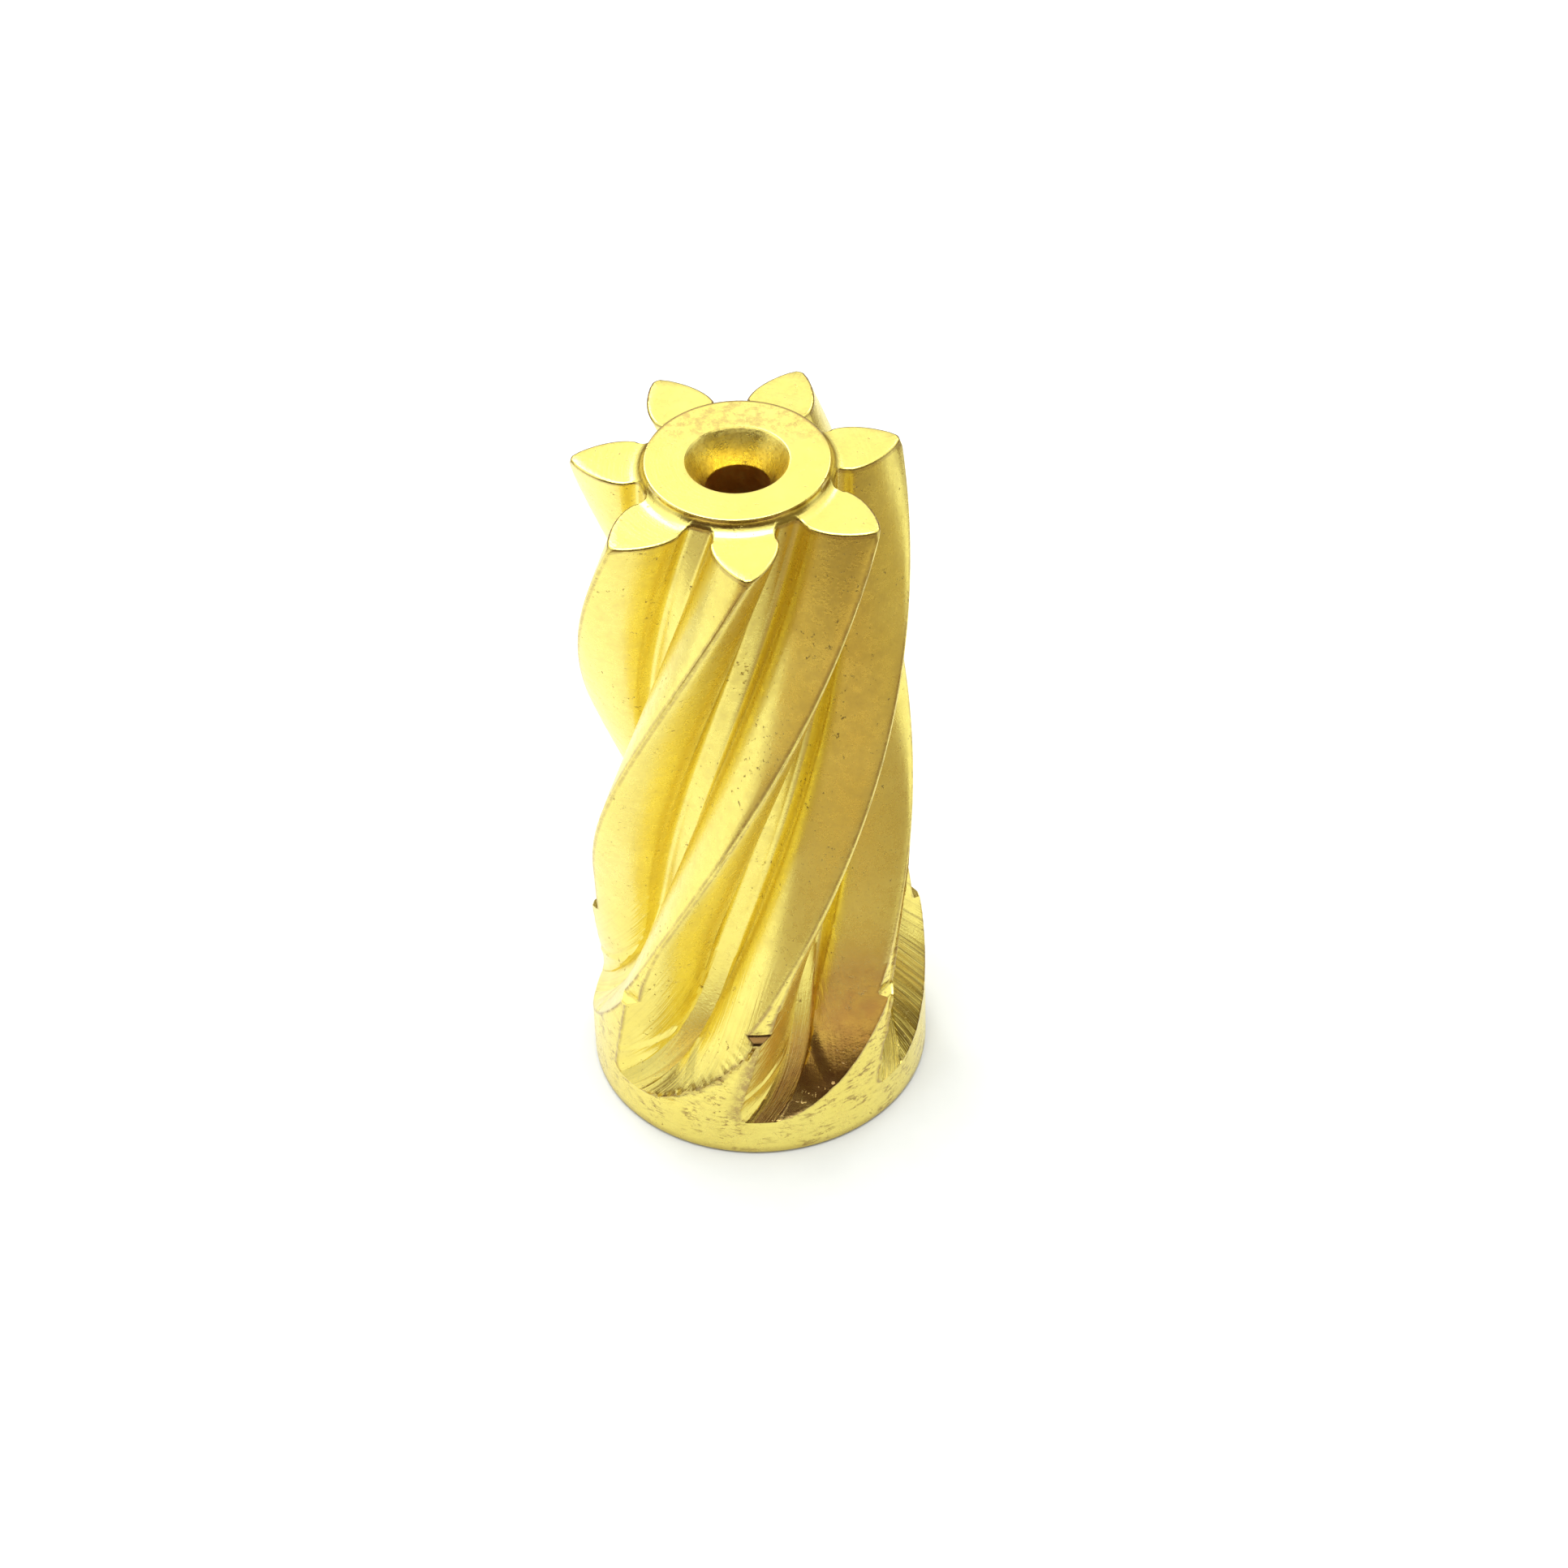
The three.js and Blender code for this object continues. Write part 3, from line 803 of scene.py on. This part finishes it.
def make_camera():
    """A long lens that looks down on the front tooth."""
    data = bpy.data.cameras.new("camera")
    data.lens = CAMERA_LENS
    data.sensor_width = SENSOR_WIDTH
    data.clip_start = 0.01
    data.clip_end = 10
    camera = bpy.data.objects.new("camera", data)
    bpy.context.scene.collection.objects.link(camera)
    forward = Vector((0, math.cos(CAMERA_ELEVATION), -math.sin(CAMERA_ELEVATION)))
    side = Vector((1, 0, 0))
    above = side.cross(forward)
    right = math.cos(CAMERA_ROLL) * side + math.sin(CAMERA_ROLL) * above
    up = -math.sin(CAMERA_ROLL) * side + math.cos(CAMERA_ROLL) * above
    turn = Matrix((right, up, -forward)).transposed().to_4x4()
    place = (Vector(CAMERA_AIM) - forward * CAMERA_DISTANCE) * MM
    camera.matrix_world = Matrix.Translation(place) @ turn
    bpy.context.scene.camera = camera


def make_floor():
    """A plain pale sheet under the pinion."""
    half = FLOOR_HALF
    mesh = bpy.data.meshes.new("floor")
    corners = [(-half, -half, 0), (half, -half, 0), (half, half, 0), (-half, half, 0)]
    mesh.from_pydata(corners, [], [(0, 1, 2, 3)])
    floor = bpy.data.objects.new("floor", mesh)
    bpy.context.scene.collection.objects.link(floor)
    material = bpy.data.materials.new("white_sheet")
    material.use_nodes = True
    tree = material.node_tree
    shader = tree.nodes["Principled BSDF"]
    place = add(tree, "ShaderNodeTexCoord").outputs["Object"]
    tone = ramp(tree, noise(tree, place, 300.0, 3.0, 0.6), 0.3, 0.7)
    colour = blend(tree, tone, (0.56, 0.575, 0.565, 1), (0.58, 0.595, 0.585, 1))
    tree.links.new(colour, shader.inputs["Base Color"])
    shader.inputs["Roughness"].default_value = 0.6
    shader.inputs["Specular IOR Level"].default_value = 0.2
    mesh.materials.append(material)


def make_world():
    """A white room, brighter overhead and on the left."""
    world = bpy.data.worlds.new("studio")
    bpy.context.scene.world = world
    world.use_nodes = True
    tree = world.node_tree
    tree.nodes.clear()
    direction = add(tree, "ShaderNodeTexCoord").outputs["Generated"]
    axes = add(tree, "ShaderNodeSeparateXYZ", {0: direction}).outputs
    rise = ramp(tree, axes["Z"], 0.12, 0.62, ROOM_LOW, ROOM_HIGH)
    left = ramp(tree, axes["X"], 0.2, -0.9, 1.0, ROOM_LEFT)
    strength = maths(tree, "MULTIPLY", rise, left)
    background = add(tree, "ShaderNodeBackground", {"Color": (1, 1, 1, 1), "Strength": strength})
    output = add(tree, "ShaderNodeOutputWorld")
    tree.links.new(background.outputs[0], output.inputs["Surface"])


def make_screen(name, profile, start, end, paint):
    """A curved screen that only the polished metal sees: profile is (radius, height) pairs."""
    turns = np.linspace(start, end, SCREEN_STEPS)
    points = [(r * math.sin(turn), -r * math.cos(turn), z) for turn in turns for r, z in profile]
    count = len(profile)
    faces = [
        (count * i + j, count * (i + 1) + j, count * (i + 1) + j + 1, count * i + j + 1)
        for i in range(SCREEN_STEPS - 1) for j in range(count - 1)
    ]
    mesh = bpy.data.meshes.new(name)
    mesh.from_pydata(points, [], faces)
    screen = bpy.data.objects.new(name, mesh)
    bpy.context.scene.collection.objects.link(screen)
    screen.visible_camera = False
    screen.visible_diffuse = False
    screen.visible_shadow = False
    material = bpy.data.materials.new(name + "_cloth")
    material.use_nodes = True
    tree = material.node_tree
    tree.nodes.clear()
    place = add(tree, "ShaderNodeTexCoord").outputs["Object"]
    axes = add(tree, "ShaderNodeSeparateXYZ", {0: place})
    light = add(tree, "ShaderNodeEmission", {"Color": paint(tree, axes)})
    output = add(tree, "ShaderNodeOutputMaterial")
    tree.links.new(light.outputs[0], output.inputs["Surface"])
    mesh.materials.append(material)


def front_paint(tree, axes):
    """Warm and dim over the table, warm and lighter just above it, and dark higher up."""
    x, y, z = axes.outputs
    right = ramp(tree, x, 0.0, SCREEN_RADIUS)
    left = ramp(tree, x, 0.0, -0.045)
    dark = blend(tree, right, (0.070, 0.030, 0.010, 1), (0.20, 0.15, 0.07, 1))
    light = blend(tree, right, (0.92, 0.70, 0.42, 1), (0.74, 0.63, 0.41, 1))
    light = blend(tree, left, light, (1.0, 0.80, 0.50, 1))
    low = blend(tree, ramp(tree, z, 0.001, 0.010), (0.39, 0.28, 0.19, 1), light)
    tone = blend(tree, ramp(tree, z, 0.015, 0.023), low, dark)
    near = ramp(tree, distance_from_axis(tree, axes), CLOTH_EDGE, CLOTH_EDGE + 0.014)
    return blend(tree, near, (0.62, 0.60, 0.57, 1), tone)


def back_paint(tree, axes):
    """Dark, and lighter along its top."""
    top = ramp(tree, axes.outputs["Z"], 0.028, BACK_TOP)
    return blend(tree, top, (0.22, 0.14, 0.06, 1), (0.5, 0.42, 0.3, 1))


def make_screens():
    """A dark cloth on the viewer's side, which reaches in over the table, and a low one behind."""
    front = [(radius, CLOTH_HEIGHT) for radius in (CLOTH_EDGE, CLOTH_MIDDLE, SCREEN_RADIUS)]
    front += [(SCREEN_RADIUS, SCREEN_TOP * t) for t in (0.1, 0.2, 0.3, 0.4, 0.6, 0.8, 1.0)]
    make_screen("front_screen", front, SCREEN_LEFT, SCREEN_RIGHT, front_paint)
    back = [(0.6 * BACK_RADIUS, BACK_HEIGHT), (BACK_RADIUS, BACK_HEIGHT)]
    back += [(BACK_RADIUS, BACK_TOP * t) for t in (0.5, 1.0)]
    make_screen("back_screen", back, BACK_START, BACK_END, back_paint)


def area_light(name, place, size, watts, aim=(0, 0, 0.012)):
    """A round soft light that faces the middle of the pinion."""
    data = bpy.data.lights.new(name, "AREA")
    data.shape = "DISK"
    data.size = size
    data.energy = watts
    light = bpy.data.objects.new(name, data)
    bpy.context.scene.collection.objects.link(light)
    light.location = place
    light.rotation_euler = (Vector(aim) - Vector(place)).to_track_quat("-Z", "Y").to_euler()


def make_lights():
    """A wide panel overhead, and two small ones behind on the left and the right."""
    area_light("ceiling_panel", (-0.03, -0.03, 0.45), 0.40, 1.97)
    area_light("left_panel", (-0.070, 0.115, 0.160), 0.10, 0.11)
    area_light("right_panel", (0.085, 0.125, 0.150), 0.06, 0.04)


make_pinion()
make_floor()
make_camera()
make_world()
make_screens()
make_lights()
bpy.context.scene.view_settings.view_transform = "Standard"
